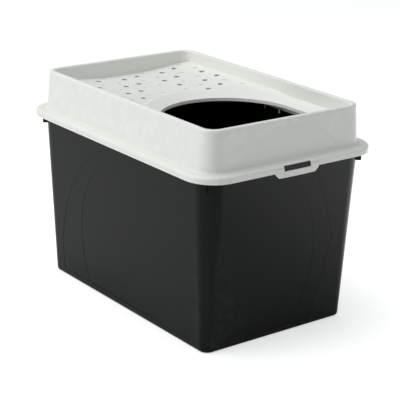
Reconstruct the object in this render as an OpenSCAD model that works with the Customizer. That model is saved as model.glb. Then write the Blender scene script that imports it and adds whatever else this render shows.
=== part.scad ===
// Top entry litter box: black tub, off-white lid with a perforated deck and a D-shaped entry.
// Millimetres, Z up, origin at the centre of the underside, front short end towards -Y.

/* [Overall] */
// Overall length between the outermost faces of the two latch loops, along Y
overall_len = 572; // [540:1:600]
// Overall width across the lid skirt, along X
overall_wid = 393; // [370:1:420]
// Overall height from the floor the tub stands on to the top edge of the lid wall
overall_hgt = 404; // [396:1:420]
// Radius of the four rim corners seen from above
rim_corner_r = 55; // [53:0.5:60]

/* [Tub] */
// Height of the lower edge of the lid skirt above the floor
skirt_z = 319; // [312:1:322]
// Distance the tub wall stands inside the rim line at the skirt
wall_top_inset = 20.6; // [20:0.2:21.6]
// Distance the tub wall stands inside the rim line at the floor
wall_bot_inset = 38.2; // [34:0.2:40]
// Wall thickness of the tub
tub_t = 2.5; // [2.3:0.1:2.7]
// Thickness of the tub floor
floor_t = 3; // [2.6:0.1:5]
// Radius of the rounded edge between tub wall and floor
foot_r = 6; // [4:0.5:7]
// Height the tub upstand rises above its flange
upstand_h = 14; // [10:1:18]
// Depth of the latch lug outside the tub lip
lug_out = 1.4; // [0.8:0.1:1.4]
// Half width of the latch lug
lug_half = 27; // [20:1:28]
// Depth of the moulded arcs in the tub walls and of the arch on the lid ends
relief_d = 0.6; // [0.3:0.1:0.8]

/* [Corner webs] */
// Distance the web reaches from the centre of the rim corner
web_reach = 43; // [40:0.5:46]
// Height of the lower end of the web above the floor
web_z = 299.5; // [290:0.5:306]
// Thickness of the web
web_t = 2.4; // [1.6:0.1:3]
// Angle of the web from the long axis of the width
web_angle = 40; // [35:1:50]

/* [Lid] */
// Sheet thickness of the lid
lid_t = 2.4; // [2.2:0.1:2.6]
// Height of the lid skirt from its lower edge to the flange top
skirt_h = 12; // [12:0.5:13]
// Radius of the outer edge of the lid flange
flange_r = 5; // [4.8:0.1:5.6]
// Distance the lid wall stands inside the rim line at the flange
lid_wall_inset = 21.5; // [21:0.1:22]
// Distance the lid wall stands inside the rim line at its top edge
lid_top_inset = 26.5; // [25.5:0.1:27.5]
// Width of the top edge of the lid wall, both skins together
lid_top_w = 10; // [9.4:0.1:10.8]
// Radius of the outer top edge of the lid wall
top_edge_r = 4; // [3.8:0.1:4.4]
// Radius of the hollow between lid flange and lid wall
flange_fillet_r = 4; // [3:0.5:5]

/* [Deck] */
// Depth of the middle of the deck below the top edge
deck_depth = 32.5; // [31:0.5:34]
// Height the deck rises from its middle to the side walls
deck_rise = 10.5; // [9:0.5:11]
// Diameter of the drain perforations
perf_d = 11; // [8:0.5:12]
// Diameter of the shallow dimples between the perforations
dimple_d = 11; // [8:0.5:12]
// Depth of the shallow dimples
dimple_depth = 1.1; // [0.6:0.1:1.4]
// Step of the perforation pattern across the width
perf_step_x = 90; // [84:1:96]
// Sideways step of one perforation row to the next
perf_row_x = 29.5; // [27:0.5:31]
// Lengthwise step of one perforation row to the next
perf_row_y = 49.7; // [48:0.1:53]

/* [Entry] */
// Half width of the entry hole
entry_half = 130; // [122:1:131]
// Centre of the round rear edge of the entry hole, along Y
entry_arc_y = -104; // [-110:1:-100]
// Distance from the centre of the round edge to the centre of the front corners
entry_len = 61; // [50:1:66]
// Radius of the front corners of the entry hole
entry_corner_r = 52; // [40:1:58]
// Width of the funnel band around the entry hole
funnel_w = 27; // [24:0.5:28]
// Depth of the entry lip below the top edge of the lid
lip_depth = 34; // [33:0.5:36]
// Depth of the funnel crest below the top edge of the lid
crest_depth = 25; // [24:0.5:26]
// Length of the ramp from the funnel crest down to the deck
ramp_w = 43; // [34:1:46]
// Height of the turned-down collar under the entry lip
collar_h = 6; // [4:0.5:8]

/* [Latch loops] */
// Half width of the loop at the skirt
loop_half = 48; // [44:0.5:50]
// Half width of the lower edge of the loop
loop_foot_half = 40; // [36:0.5:43]
// Half width of the window inside the loop
window_half = 30; // [29:0.5:34]
// Height of the bar below the window
bar_h = 10.5; // [8:0.5:10.5]
// Distance the lower edge of the loop hangs below the skirt
loop_drop = 9.5; // [8:0.5:11]
// Distance the middle of the loop bows out beyond the skirt
loop_bow = 1.5; // [1:0.1:1.8]
// Gap cut around the loop
slit = 0.45; // [0.4:0.05:0.6]

/* [Locating tabs] */
// Distance the tabs hang below the top of the tub upstand
tab_drop = 6; // [4:0.5:8]
// Width of a locating tab
tab_w = 3; // [2:0.5:5]

/* [Hidden] */
$fn = 96;
over = 1;
join = 0.6;

rim_x = overall_wid / 2;
rim_y = overall_len / 2 - loop_bow;
cor_x = rim_x - rim_corner_r;
cor_y = rim_y - rim_corner_r;

flange_z = skirt_z + skirt_h;
rest_gap = 0.5;
side_gap = 1;
tub_flange_t = 2.5;
tub_flange_top = flange_z - lid_t - rest_gap;
tub_flange_low = tub_flange_top - tub_flange_t;
tub_lip_x = rim_corner_r - lid_t - side_gap;
tub_lip_z = skirt_z + 2;
tub_lip_cut = 1.8;
upstand_t = 2.2;
upstand_gap = 1.6;
upstand_x = rim_corner_r - lid_wall_inset - lid_t - upstand_gap;
upstand_z = tub_flange_top + upstand_h;

tub_lean = (wall_bot_inset - wall_top_inset) / skirt_z;
tub_ang = atan(tub_lean);
foot_x = rim_corner_r - wall_bot_inset;
foot_cx = foot_x + tub_lean * foot_r - foot_r / cos(tub_ang);
foot_in = foot_r - tub_t;

lid_lean = (lid_top_inset - lid_wall_inset) / (overall_hgt - flange_z);
lid_ang = atan(lid_lean);
top_cz = overall_hgt - top_edge_r;
inner_top_in = lid_top_inset + lid_top_w;
inner_shift = 1.2;
inner_lean = inner_shift / deck_depth;
inner_ang = atan(inner_lean);
inner_r = 3.2;
inner_cz = overall_hgt - inner_r;
fil_cz = flange_z + flange_fillet_r;

deck_z = overall_hgt - deck_depth;
leg_z = deck_z - 1;
deck_half = rim_x - inner_top_in - inner_shift;
deck_rad = (deck_half * deck_half + deck_rise * deck_rise) / (2 * deck_rise);
lip_z = overall_hgt - lip_depth;
crest_z = overall_hgt - crest_depth;
deck_cap = overall_hgt - 16;
plug_z = lip_z - 20;
front_cy = entry_arc_y - entry_len;
front_cx = entry_half - entry_corner_r;
ramp_end = funnel_w + ramp_w;
ramp_low = deck_z - 0.6;
ramp_h = crest_z - ramp_low;
ramp_rad = (ramp_w * ramp_w + ramp_h * ramp_h) / (2 * ramp_h);
bank_w = 20;
bank_back = 5;
bank_drop = 3;
bank_slope = 0.375;

bar_z0 = skirt_z - loop_drop;
bar_z1 = bar_z0 + bar_h;
hinge_z = flange_z - flange_r - 0.5;
loop_step_z = skirt_z - 2.5;
window_top = flange_z - 0.8;
window_in = 4;
bow_rad = (loop_half * loop_half + loop_bow * loop_bow) / (2 * loop_bow);

perf_start = [14.8, 264.6];
black_b = [4.9, -42.1];
dimple_a = [-25, -22.4];
dimple_b = [26.3, -27.4];
edge_keep = 9;
ring_keep = 26;
plain_spot = [3, 1];
tab_ys = [5, -37];
tab_t = 1.8;
tab_gap = 0.4;

end_lens_r = 218;
end_lens_c = 145;
end_lens_z = 150;
dome_r = 797;
dome_c = 672;
dome_z = 300;
flank_r = 520;
flank_c = 392;
flank_z = 49;
side_lens_r = 208;
side_lens_c = 71;
side_lens_z = 105;
side_dome_r = 279;
side_dome_c = 72;
side_dome_z = 45;
relief_z0 = 14;
relief_z1 = skirt_z - 16;
arch_r = 140.5;
arch_z = overall_hgt - 151.5;
arch_z0 = 8;

lid_color = [0.88, 0.89, 0.86];
tub_color = [0.1, 0.11, 0.11];

// Distance from the rim corner centre to the tub wall, the lid wall and the inner face of the lid
function tub_x(z) = foot_x + tub_lean * z;
function lid_x(z) = rim_corner_r - lid_wall_inset - lid_lean * (z - flange_z);
function inner_x(z) = rim_corner_r - inner_top_in - inner_lean * (overall_hgt - z);

// Height of the deck, and distance from the entry edge
function deck_at(x) = deck_z + deck_rad - sqrt(deck_rad * deck_rad - x * x);
function entry_gap(p) = p[1] > entry_arc_y ? norm([p[0], p[1] - entry_arc_y]) - entry_half : -1;
function ramp_at(d) = d > ramp_end ? 0 : ramp_low + ramp_rad - sqrt(pow(ramp_rad, 2) - pow(ramp_end - d, 2));
function spot(i, j, shift) = perf_start + shift + [j * perf_step_x - i * perf_row_x, -i * perf_row_y];
function on_deck(p) = abs(p[0]) < deck_half - edge_keep
    && abs(p[1]) < rim_y - inner_top_in - inner_shift - edge_keep
    && entry_gap(p) > funnel_w + ring_keep;

// Carries a section all round, parallel to the rim; x of the section starts at the corner centre
module sweep() {
    for (sx = [-1, 1])
        for (sy = [-1, 1])
            translate([sx * cor_x, sy * cor_y, 0])
                rotate([0, 0, sx > 0 ? (sy > 0 ? 0 : 270) : (sy > 0 ? 90 : 180)])
                    rotate_extrude(angle = 90) children();
    for (a = [0, 180])
        rotate([0, 0, a]) {
            translate([cor_x, cor_y, 0])
                rotate([90, 0, 0]) linear_extrude(height = 2 * cor_y) children();
            translate([-cor_x, cor_y, 0])
                rotate([90, 0, 90]) linear_extrude(height = 2 * cor_x) children();
        }
}

// Rounded rectangle whose corner radius is r, about the rim corner centres
module corner_plate(r, z0, h) {
    translate([-cor_x - r, -cor_y, z0]) cube([2 * (cor_x + r), 2 * cor_y, h]);
    translate([-cor_x, -cor_y - r, z0]) cube([2 * cor_x, 2 * (cor_y + r), h]);
    for (sx = [-1, 1])
        for (sy = [-1, 1])
            translate([sx * cor_x, sy * cor_y, z0]) cylinder(r = r, h = h);
}

// Tub wall with its rounded foot, flange, turned-down lip and upstand
module tub_section() {
    wall_in = tub_x(tub_flange_low) - tub_t;
    difference() {
        union() {
            polygon([
                [foot_cx - join, 0],
                [foot_cx, 0],
                [foot_cx + foot_r * cos(tub_ang), foot_r - foot_r * sin(tub_ang)],
                [tub_x(tub_flange_top), tub_flange_top],
                [foot_cx - join, tub_flange_top]
            ]);
            translate([foot_cx, foot_r]) circle(r = foot_r);
        }
        polygon([
            [foot_cx - foot_r - over, floor_t],
            [foot_cx, floor_t],
            [foot_cx + foot_in, floor_t + foot_in],
            [wall_in, tub_flange_low],
            [wall_in, tub_flange_top + over],
            [foot_cx - foot_r - over, tub_flange_top + over]
        ]);
        translate([foot_cx - foot_r - over, -over]) square([foot_r + over - join, tub_flange_top]);
    }
    polygon([
        [upstand_x - upstand_t, tub_flange_low],
        [tub_lip_x - tub_flange_t, tub_flange_low],
        [tub_lip_x - tub_flange_t, tub_lip_z],
        [tub_lip_x, tub_lip_z],
        [tub_lip_x, tub_flange_top - tub_lip_cut],
        [tub_lip_x - tub_lip_cut, tub_flange_top],
        [upstand_x, tub_flange_top],
        [upstand_x, upstand_z],
        [upstand_x - upstand_t, upstand_z]
    ]);
}

// Skirt, flange, wall and double-skinned top edge of the lid, filled from the outside line inwards
module lid_filled(t) {
    rim = rim_corner_r - t;
    er = flange_r - t;
    tr = top_edge_r - t;
    ir = inner_r - t;
    ex = rim_corner_r - flange_r;
    ez = flange_z - flange_r;
    ox = lid_x(top_cz) - top_edge_r / cos(lid_ang);
    ix = inner_x(inner_cz) + inner_r / cos(inner_ang);
    low = flange_z - t - join;
    mid = (inner_x(leg_z) + lid_x(leg_z)) / 2 - t / 4;
    cut = t > 0 ? over : 0;
    polygon([
        [mid, skirt_z - cut],
        [rim, skirt_z - cut],
        [rim, ez],
        [ex, flange_z - t],
        [mid, flange_z - t]
    ]);
    translate([ex, ez]) circle(r = er);
    polygon([
        [mid, low],
        [lid_x(low) - t / cos(lid_ang), low],
        [ox + tr * cos(lid_ang), top_cz + tr * sin(lid_ang)],
        [ox, overall_hgt - t],
        [ix, overall_hgt - t],
        [ix - ir * cos(inner_ang), inner_cz + ir * sin(inner_ang)],
        [inner_x(leg_z - cut) + t / cos(inner_ang), leg_z - cut],
        [mid, leg_z - cut]
    ]);
    translate([ox, top_cz]) circle(r = tr);
    translate([ix, inner_cz]) circle(r = ir);
}

module lid_fillet() {
    cx = lid_x(fil_cz) + flange_fillet_r / cos(lid_ang);
    tz = fil_cz - flange_fillet_r * sin(lid_ang);
    difference() {
        polygon([
            [lid_x(flange_z) - lid_t / 2, flange_z - join],
            [cx, flange_z - join],
            [cx, flange_z],
            [cx - flange_fillet_r * cos(lid_ang), tz],
            [lid_x(tz) - lid_t / 2, tz]
        ]);
        translate([cx, fil_cz]) circle(r = flange_fillet_r);
    }
}

module lid_section() {
    difference() {
        lid_filled(0);
        lid_filled(lid_t);
    }
    lid_fillet();
}

// Carries a section round the entry; x of the section is the distance from the entry edge
module entry_sweep() {
    translate([0, entry_arc_y, 0])
        rotate_extrude(angle = 180) translate([entry_half, 0]) children();
    for (s = [0, 1])
        mirror([s, 0, 0]) {
            translate([entry_half, entry_arc_y, 0])
                rotate([90, 0, 0]) linear_extrude(height = entry_len) children();
            translate([front_cx, front_cy, 0])
                rotate([0, 0, 270]) rotate_extrude(angle = 90) translate([entry_corner_r, 0]) children();
        }
    translate([front_cx, front_cy - entry_corner_r, 0])
        rotate([90, 0, 270]) linear_extrude(height = 2 * front_cx) children();
}

module entry_plug(z0, h) {
    translate([0, entry_arc_y, z0])
        rotate_extrude(angle = 180) square([entry_half, h]);
    translate([-entry_half, front_cy, z0]) cube([2 * entry_half, entry_len, h]);
    translate([-front_cx, front_cy - entry_corner_r, z0]) cube([2 * front_cx, entry_corner_r, h]);
    for (s = [-1, 1])
        translate([s * front_cx, front_cy, z0]) cylinder(r = entry_corner_r, h = h);
}

module funnel_section() {
    difference() {
        polygon([
            [-over, plug_z],
            [ramp_end, plug_z],
            [ramp_end, crest_z],
            [funnel_w, crest_z],
            [0, lip_z],
            [-over, lip_z]
        ]);
        translate([ramp_end, ramp_low + ramp_rad]) circle(r = ramp_rad, $fn = 180);
    }
}

// Space kept free above the funnel, banked up towards the deck where the deck lies higher
module bank_section() {
    polygon([
        [-over, plug_z - over],
        [funnel_w - bank_back, plug_z - over],
        [funnel_w - bank_back, crest_z - bank_drop - bank_slope * bank_back],
        [funnel_w + bank_w, crest_z - bank_drop + bank_slope * bank_w],
        [funnel_w + bank_w, deck_cap + over],
        [-over, deck_cap + over]
    ]);
}

// Everything below the upper face of the deck, out to the given distance inside the double wall
module deck_mass(edge) {
    intersection() {
        corner_plate(inner_x(deck_z) + edge, plug_z, deck_cap - plug_z);
        union() {
            difference() {
                translate([0, rim_y, 0]) rotate([90, 0, 0]) linear_extrude(height = 2 * rim_y)
                    difference() {
                        translate([-rim_x, plug_z]) square([2 * rim_x, deck_cap - plug_z]);
                        translate([0, deck_z + deck_rad]) circle(r = deck_rad, $fn = 360);
                    }
                entry_sweep() bank_section();
            }
            entry_sweep() funnel_section();
        }
    }
}

module deck_sheet() {
    difference() {
        deck_mass(join);
        translate([0, 0, -lid_t]) deck_mass(join + over);
    }
}

module perforations() {
    for (i = [0:8])
        for (j = [-2:5])
            for (b = [[0, 0], black_b]) {
                p = spot(i, j, b);
                if (on_deck(p) && !(b == [0, 0] && [i, j] == plain_spot))
                    translate([p[0], p[1], deck_z - 2 * lid_t]) cylinder(d = perf_d, h = deck_cap - deck_z);
            }
}

module dimples() {
    for (i = [0:8])
        for (j = [-2:5])
            for (b = [dimple_a, dimple_b]) {
                p = spot(i, j, b);
                top = max(deck_at(p[0]), ramp_at(entry_gap(p)));
                if (on_deck(p))
                    translate([p[0], p[1], top - dimple_depth]) cylinder(d = dimple_d, h = 2 * lid_t);
            }
}

module entry_collar() {
    entry_sweep() translate([-over, lip_z - collar_h]) square([lid_t + over, collar_h - join]);
}

// Tabs of the lid that reach down inside the tub upstand
module tabs() {
    x1 = cor_x + upstand_x - upstand_t - tab_gap;
    z1 = upstand_z + rest_gap;
    for (s = [0, 1])
        mirror([s, 0, 0])
            for (y = tab_ys) {
                translate([x1 - tab_t, y - tab_w / 2, upstand_z - tab_drop])
                    cube([tab_t, tab_w, tab_drop + rest_gap + tab_t]);
                translate([x1 - tab_t, y - tab_w / 2, z1])
                    cube([cor_x + lid_x(z1) - lid_t / 2 - x1 + tab_t, tab_w, tab_t]);
            }
}

module latch_cut() {
    reach = lid_t + over;
    translate([-loop_half - slit, -rim_y - over, skirt_z - over])
        cube([2 * (loop_half + slit), reach + over, hinge_z + slit - skirt_z + over]);
    translate([-window_half, -rim_y - over, skirt_z])
        cube([2 * window_half, window_in + over, window_top - skirt_z]);
}

// Puts a flat shape on the leaning end wall or side wall of the tub, cut to depth d
module on_wall(dist, lean, z0, d) {
    translate([0, -dist, z0]) rotate([lean, 0, 0])
        translate([0, d, 0]) rotate([90, 0, 0]) linear_extrude(height = d + over) children();
}

module pair(r, c, z) {
    intersection() {
        translate([c, z]) circle(r = r, $fn = 180);
        translate([-c, z]) circle(r = r, $fn = 180);
    }
}

module relief_band() {
    translate([-rim_y, relief_z0]) square([2 * rim_y, relief_z1 - relief_z0]);
}

module end_reliefs() {
    on_wall(cor_y + foot_x, tub_ang, 0, relief_d / 2)
        intersection() {
            relief_band();
            pair(dome_r, dome_c, dome_z);
            pair(flank_r, flank_c, flank_z);
        }
    on_wall(cor_y + foot_x, tub_ang, 0, relief_d)
        intersection() {
            relief_band();
            pair(end_lens_r, end_lens_c, end_lens_z);
        }
}

module side_reliefs() {
    on_wall(cor_x + foot_x, tub_ang, 0, relief_d / 2)
        intersection() {
            relief_band();
            pair(side_dome_r, side_dome_c, side_dome_z);
        }
    on_wall(cor_x + foot_x, tub_ang, 0, relief_d)
        intersection() {
            relief_band();
            pair(side_lens_r, side_lens_c, side_lens_z);
        }
}

module arch_relief() {
    on_wall(cor_y + lid_x(flange_z), -lid_ang, flange_z, relief_d)
        intersection() {
            translate([-arch_r, arch_z0]) square([2 * arch_r, 2 * arch_r]);
            translate([0, arch_z - flange_z]) circle(r = arch_r, $fn = 180);
        }
}

module corner_webs() {
    for (sx = [0, 1])
        for (sy = [0, 1])
            mirror([sx, 0, 0]) mirror([0, sy, 0])
                translate([cor_x, cor_y, web_z]) rotate([0, 0, web_angle])
                    translate([tub_x(web_z) - tub_t / 2, -web_t / 2, 0])
                        cube([web_reach - tub_x(web_z) + tub_t / 2, web_t, tub_flange_low + join - web_z]);
}

module lugs() {
    for (s = [0, 1])
        mirror([0, s, 0])
            translate([-lug_half, cor_y + tub_lip_x - over, tub_lip_z])
                cube([2 * lug_half, lug_out + over, tub_flange_top - tub_lip_z]);
}

module loop_outline() {
    difference() {
        polygon([
            [-loop_half, hinge_z],
            [-loop_half, loop_step_z],
            [-loop_foot_half, bar_z0],
            [loop_foot_half, bar_z0],
            [loop_half, loop_step_z],
            [loop_half, hinge_z]
        ]);
        translate([-window_half, bar_z1]) square([2 * window_half, hinge_z]);
    }
}

module front_loop() {
    intersection() {
        translate([0, bow_rad - rim_y - loop_bow, bar_z0 - over])
            difference() {
                cylinder(r = bow_rad, h = flange_z - bar_z0, $fn = 720);
                translate([0, 0, -over])
                    cylinder(r = bow_rad - lid_t, h = flange_z - bar_z0 + 2 * over, $fn = 720);
            }
        translate([0, -rim_y + 2 * lid_t, 0])
            rotate([90, 0, 0]) linear_extrude(height = 4 * lid_t) loop_outline();
    }
}

module tub() {
    color(tub_color)
        difference() {
            union() {
                sweep() tub_section();
                corner_plate(foot_cx, 0, floor_t);
                corner_webs();
                lugs();
            }
            for (s = [0, 1])
                mirror([0, s, 0]) end_reliefs();
            for (a = [90, 270])
                rotate([0, 0, a]) side_reliefs();
        }
}

module lid() {
    color(lid_color)
        difference() {
            union() {
                sweep() lid_section();
                deck_sheet();
                entry_collar();
                tabs();
            }
            entry_plug(plug_z, deck_cap - plug_z);
            perforations();
            dimples();
            for (s = [0, 1])
                mirror([0, s, 0]) {
                    latch_cut();
                    arch_relief();
                }
        }
}

module front_clip() {
    color(lid_color) front_loop();
}

module rear_clip() {
    color(lid_color) mirror([0, 1, 0]) front_loop();
}

tub();
lid();
front_clip();
rear_clip();
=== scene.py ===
import math

import bpy
from mathutils import Matrix, Vector

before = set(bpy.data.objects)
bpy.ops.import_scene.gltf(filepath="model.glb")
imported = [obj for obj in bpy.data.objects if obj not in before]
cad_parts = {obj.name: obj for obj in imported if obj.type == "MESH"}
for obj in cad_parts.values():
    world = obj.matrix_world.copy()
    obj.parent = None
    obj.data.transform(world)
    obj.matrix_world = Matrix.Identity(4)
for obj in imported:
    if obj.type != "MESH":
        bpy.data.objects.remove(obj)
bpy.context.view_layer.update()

# Camera, in millimetres and degrees, fitted to the photograph's corners
CAMERA_TARGET = (-22.36, -44.78, 200.0)
CAMERA_DISTANCE = 2555.0
CAMERA_AZIMUTH = -37.593
CAMERA_ELEVATION = 18.825
CAMERA_ROLL = 1.464
FOCAL_PIXELS = 1388.19
IMAGE_PIXELS = 400.0
SENSOR_WIDTH = 36.0
MILLIMETRES = 1000.0

# Colours as linear light
LID_COLOUR = (0.79, 0.795, 0.755)
LID_FLOW_COLOUR = (0.787, 0.792, 0.752)
LID_RUBBED = (0.86, 0.86, 0.84)
TUB_COLOUR = (0.0045, 0.0052, 0.0055)
TUB_FLOW_COLOUR = (0.0038, 0.0045, 0.0048)
TUB_RUBBED = (0.014, 0.015, 0.016)
FLOOR_COLOUR = (0.82, 0.82, 0.82)
WHITE = (1.0, 1.0, 1.0)

# Moulded skin: noise sizes per metre, the share of the fine grain, the height of the relief
FLOW_SCALE = 6.0
FLOW_DETAIL = 3.0
FLOW_DISTORTION = 0.6
FLOW_RANGE = (0.35, 0.7)
GRAIN_SCALE = 900.0
GRAIN_DETAIL = 2.0
GRAIN_SHARE = 0.3
RELIEF_HEIGHT = 0.0005

# Handling wear: where an edge counts as raised, how it breaks up, how sparse the dust is
RAISED_EDGE = (0.51, 0.58)
PATCH_SCALE = 60.0
PATCH_DETAIL = 4.0
PATCH_RANGE = (0.45, 0.65)
DUST_SCALE = 1400.0
DUST_DETAIL = 2.0
DUST_RANGE = (0.66, 0.74)
RUB_STRENGTH = 0.5
DUST_ROUGHNESS = 0.15

# Floor, and the painted reflection it glows with in glossy rays only, bright beside the entry
# end: from, to, light
FLOOR_SIZE = 30.0
FLOOR_WHITE = 0.55
REFLECTION_GLOW_EDGE = (0.1, 0.75)
REFLECTION_GLOW_LIGHT = 1.3
REFLECTION_GLOW_BASE = 0.12
WORLD_COLOUR = (0.95, 0.98, 1.0)
WORLD_STRENGTH = 0.44

# Lamps: name, place, aim and size in metres, power in watts
LAMPS = (
    ("side_softbox", (-2.6, 0.6, 1.3), (0, 0, 0.25), (1.8, 1.4), 28),
    ("top_softbox", (-0.3, 0.5, 2.6), (0, 0, 0.3), (2.0, 2.0), 30),
    ("right_strip", (1.9, -1.3, 0.7), (0.1, -0.28, 0.25), (0.5, 1.4), 1.5),
)


def group_with(name, inputs, outputs):
    """A shader node group with named inputs and outputs."""
    tree = bpy.data.node_groups.new(name, "ShaderNodeTree")
    for label, kind, value in inputs:
        socket = tree.interface.new_socket(label, in_out="INPUT", socket_type=kind)
        if value is not None:
            socket.default_value = value
    for label, kind in outputs:
        tree.interface.new_socket(label, in_out="OUTPUT", socket_type=kind)
    return tree, tree.nodes.new("NodeGroupInput"), tree.nodes.new("NodeGroupOutput")


def math_node(tree, operation, first, second):
    node = tree.nodes.new("ShaderNodeMath")
    node.operation = operation
    for socket, value in zip(node.inputs, (first, second)):
        if isinstance(value, (int, float)):
            socket.default_value = value
        else:
            tree.links.new(value, socket)
    return node.outputs["Value"]


def noise(tree, place, scale, detail, distortion=0.0):
    """Noise between 0 and 1; the scale is a number or another node's output."""
    node = tree.nodes.new("ShaderNodeTexNoise")
    node.inputs["Detail"].default_value = detail
    node.inputs["Distortion"].default_value = distortion
    tree.links.new(place, node.inputs["Vector"])
    if isinstance(scale, float):
        node.inputs["Scale"].default_value = scale
    else:
        tree.links.new(scale, node.inputs["Scale"])
    return node.outputs["Fac"]


def ramp(tree, value, low, high):
    node = tree.nodes.new("ShaderNodeMapRange")
    node.interpolation_type = "SMOOTHSTEP"
    node.inputs["From Min"].default_value = low
    node.inputs["From Max"].default_value = high
    tree.links.new(value, node.inputs["Value"])
    return node.outputs["Result"]


def make_moulded_skin():
    """Flow marks, fine grain and slight waviness of injection moulded plastic."""
    tree, given, result = group_with(
        "moulded_skin",
        [
            ("Place", "NodeSocketVector", None),
            ("Flow Scale", "NodeSocketFloat", FLOW_SCALE),
            ("Grain Scale", "NodeSocketFloat", GRAIN_SCALE),
            ("Grain Share", "NodeSocketFloat", GRAIN_SHARE),
        ],
        [("Flow", "NodeSocketFloat"), ("Height", "NodeSocketFloat")],
    )
    place = given.outputs["Place"]
    flow = noise(tree, place, given.outputs["Flow Scale"], FLOW_DETAIL, FLOW_DISTORTION)
    grain = noise(tree, place, given.outputs["Grain Scale"], GRAIN_DETAIL)
    share = math_node(tree, "MULTIPLY", grain, given.outputs["Grain Share"])
    tree.links.new(math_node(tree, "ADD", share, flow), result.inputs["Height"])
    tree.links.new(flow, result.inputs["Flow"])
    return tree


def make_handling_wear():
    """Thin rubbed mask on edges, broken up, and a sparse dust mask."""
    tree, given, result = group_with(
        "handling_wear",
        [("Place", "NodeSocketVector", None), ("Break Up", "NodeSocketFloat", PATCH_SCALE)],
        [("Rub", "NodeSocketFloat"), ("Dust", "NodeSocketFloat")],
    )
    place = given.outputs["Place"]
    edge = tree.nodes.new("ShaderNodeNewGeometry").outputs["Pointiness"]
    raised = ramp(tree, edge, *RAISED_EDGE)
    broken = noise(tree, place, given.outputs["Break Up"], PATCH_DETAIL)
    patches = ramp(tree, broken, *PATCH_RANGE)
    tree.links.new(math_node(tree, "MULTIPLY", raised, patches), result.inputs["Rub"])
    specks = noise(tree, place, DUST_SCALE, DUST_DETAIL)
    tree.links.new(ramp(tree, specks, *DUST_RANGE), result.inputs["Dust"])
    return tree


MOULDED_SKIN = make_moulded_skin()
HANDLING_WEAR = make_handling_wear()


def placed_group(tree, group, place):
    node = tree.nodes.new("ShaderNodeGroup")
    node.node_tree = group
    tree.links.new(place, node.inputs["Place"])
    return node


def mixed(tree, share, first, second):
    """Mixes the first colour, or a node's colour, with the second colour."""
    node = tree.nodes.new("ShaderNodeMix")
    node.data_type = "RGBA"
    if isinstance(first, tuple):
        node.inputs["A"].default_value = (*first, 1.0)
    else:
        tree.links.new(first, node.inputs["A"])
    node.inputs["B"].default_value = (*second, 1.0)
    tree.links.new(share, node.inputs["Factor"])
    return node.outputs["Result"]


def plastic(name, colour, flow_colour, rubbed, roughness, spread, bump, specular):
    """Moulded plastic: colour and roughness drift with the flow marks, rubbed along edges."""
    material = bpy.data.materials.new(name)
    material.use_nodes = True
    tree = material.node_tree
    skin = tree.nodes["Principled BSDF"]
    place = tree.nodes.new("ShaderNodeTexCoord").outputs["Object"]
    marks = placed_group(tree, MOULDED_SKIN, place)
    wear = placed_group(tree, HANDLING_WEAR, place)

    drift = mixed(tree, ramp(tree, marks.outputs["Flow"], *FLOW_RANGE), colour, flow_colour)
    rub = math_node(tree, "MULTIPLY", wear.outputs["Rub"], RUB_STRENGTH)
    tree.links.new(mixed(tree, rub, drift, rubbed), skin.inputs["Base Color"])

    gloss = math_node(tree, "MULTIPLY", marks.outputs["Flow"], spread)
    gloss = math_node(tree, "ADD", gloss, roughness - spread / 2)
    dust = math_node(tree, "MULTIPLY", wear.outputs["Dust"], DUST_ROUGHNESS)
    tree.links.new(math_node(tree, "ADD", gloss, dust), skin.inputs["Roughness"])
    relief = tree.nodes.new("ShaderNodeBump")
    relief.inputs["Strength"].default_value = bump
    relief.inputs["Distance"].default_value = RELIEF_HEIGHT
    tree.links.new(marks.outputs["Height"], relief.inputs["Height"])
    tree.links.new(relief.outputs["Normal"], skin.inputs["Normal"])
    skin.inputs["Specular IOR Level"].default_value = specular
    return material


LID_PLASTIC = plastic(
    "lid_plastic",
    LID_COLOUR,
    LID_FLOW_COLOUR,
    LID_RUBBED,
    roughness=0.34,
    spread=0.05,
    bump=0.02,
    specular=0.5,
)
TUB_PLASTIC = plastic(
    "tub_plastic",
    TUB_COLOUR,
    TUB_FLOW_COLOUR,
    TUB_RUBBED,
    roughness=0.24,
    spread=0.06,
    bump=0.04,
    specular=0.15,
)


def dress_frame():
    for name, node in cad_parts.items():
        node.data.materials.clear()
        node.data.materials.append(TUB_PLASTIC if name == "tub" else LID_PLASTIC)


def backdrop_shader(name, colour, white):
    """Matt floor that the camera sees as white, with the object's shadow kept.

    In reflections it glows with a painted reflection: dim, and bright on the right.
    """
    material = bpy.data.materials.new(name)
    material.use_nodes = True
    tree = material.node_tree
    tree.nodes.remove(tree.nodes["Principled BSDF"])
    matt = tree.nodes.new("ShaderNodeBsdfDiffuse")
    matt.inputs["Color"].default_value = (*colour, 1.0)
    glow = tree.nodes.new("ShaderNodeEmission")
    rays = tree.nodes.new("ShaderNodeLightPath").outputs
    seen = math_node(tree, "MAXIMUM", rays["Is Camera Ray"], rays["Is Transmission Ray"])
    seen = math_node(tree, "MULTIPLY", seen, white)
    across = tree.nodes.new("ShaderNodeSeparateXYZ")
    place = tree.nodes.new("ShaderNodeTexCoord").outputs["Object"]
    tree.links.new(place, across.inputs["Vector"])
    # painted reflection: emission seen only by glossy rays, rising across X, so the tub
    # reflects a bright patch on its right
    painted_glow = ramp(tree, across.outputs["X"], *REFLECTION_GLOW_EDGE)
    painted_glow = math_node(tree, "MULTIPLY", painted_glow, REFLECTION_GLOW_LIGHT)
    painted_reflection = math_node(tree, "ADD", painted_glow, REFLECTION_GLOW_BASE)
    painted_reflection = math_node(tree, "MULTIPLY", painted_reflection, rays["Is Glossy Ray"])
    tree.links.new(math_node(tree, "ADD", seen, painted_reflection), glow.inputs["Strength"])
    both = tree.nodes.new("ShaderNodeAddShader")
    tree.links.new(matt.outputs["BSDF"], both.inputs[0])
    tree.links.new(glow.outputs["Emission"], both.inputs[1])
    tree.links.new(both.outputs["Shader"], tree.nodes["Material Output"].inputs["Surface"])
    return material


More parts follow.
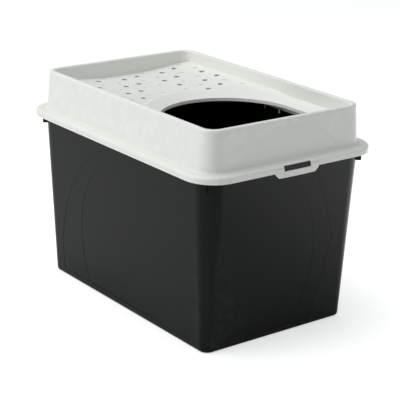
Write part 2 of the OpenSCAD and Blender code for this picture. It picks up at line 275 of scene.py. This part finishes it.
def make_floor():
    bpy.ops.object.select_all(action="DESELECT")
    bpy.ops.mesh.primitive_plane_add(size=FLOOR_SIZE, location=(0, 0, 0))
    floor = bpy.context.object
    floor.name = "studio_floor"
    floor.data.materials.append(backdrop_shader("studio_white", FLOOR_COLOUR, FLOOR_WHITE))


def make_world():
    """Soft even light all round, white where the camera sees it."""
    world = bpy.data.worlds.new("studio")
    bpy.context.scene.world = world
    world.use_nodes = True
    tree = world.node_tree
    light = tree.nodes["Background"]
    light.inputs["Color"].default_value = (*WORLD_COLOUR, 1.0)
    light.inputs["Strength"].default_value = WORLD_STRENGTH
    paper = tree.nodes.new("ShaderNodeBackground")
    paper.inputs["Color"].default_value = (*WHITE, 1.0)
    path = tree.nodes.new("ShaderNodeLightPath")
    mix = tree.nodes.new("ShaderNodeMixShader")
    tree.links.new(path.outputs["Is Camera Ray"], mix.inputs["Fac"])
    tree.links.new(light.outputs["Background"], mix.inputs[1])
    tree.links.new(paper.outputs["Background"], mix.inputs[2])
    tree.links.new(mix.outputs["Shader"], tree.nodes["World Output"].inputs["Surface"])


def make_lamps():
    for name, place, aim, size, power in LAMPS:
        light = bpy.data.lights.new(name, "AREA")
        light.shape = "RECTANGLE"
        light.size, light.size_y = size
        light.energy = power
        holder = bpy.data.objects.new(name, light)
        bpy.context.scene.collection.objects.link(holder)
        holder.location = place
        holder.rotation_mode = "QUATERNION"
        holder.rotation_quaternion = (Vector(aim) - Vector(place)).to_track_quat("-Z", "Y")


def make_camera():
    angles = (CAMERA_AZIMUTH, CAMERA_ELEVATION, CAMERA_ROLL)
    azimuth, elevation, roll = map(math.radians, angles)
    back = Vector(
        (
            math.sin(azimuth) * math.cos(elevation),
            -math.cos(azimuth) * math.cos(elevation),
            math.sin(elevation),
        )
    )
    right = (-back).cross(Vector((0, 0, 1))).normalized()
    up = right.cross(-back)
    turned_right = math.cos(roll) * right + math.sin(roll) * up
    turned_up = math.cos(roll) * up - math.sin(roll) * right
    lens = bpy.data.cameras.new("photo_camera")
    lens.sensor_width = SENSOR_WIDTH
    lens.lens = FOCAL_PIXELS * SENSOR_WIDTH / IMAGE_PIXELS
    camera = bpy.data.objects.new("photo_camera", lens)
    bpy.context.scene.collection.objects.link(camera)
    place = (Vector(CAMERA_TARGET) + back * CAMERA_DISTANCE) / MILLIMETRES
    turn = Matrix((turned_right, turned_up, back)).transposed().to_4x4()
    camera.matrix_world = Matrix.Translation(place) @ turn
    bpy.context.scene.camera = camera


bpy.context.scene.view_settings.view_transform = "Standard"
make_camera()
make_world()
make_lamps()
make_floor()
dress_frame()
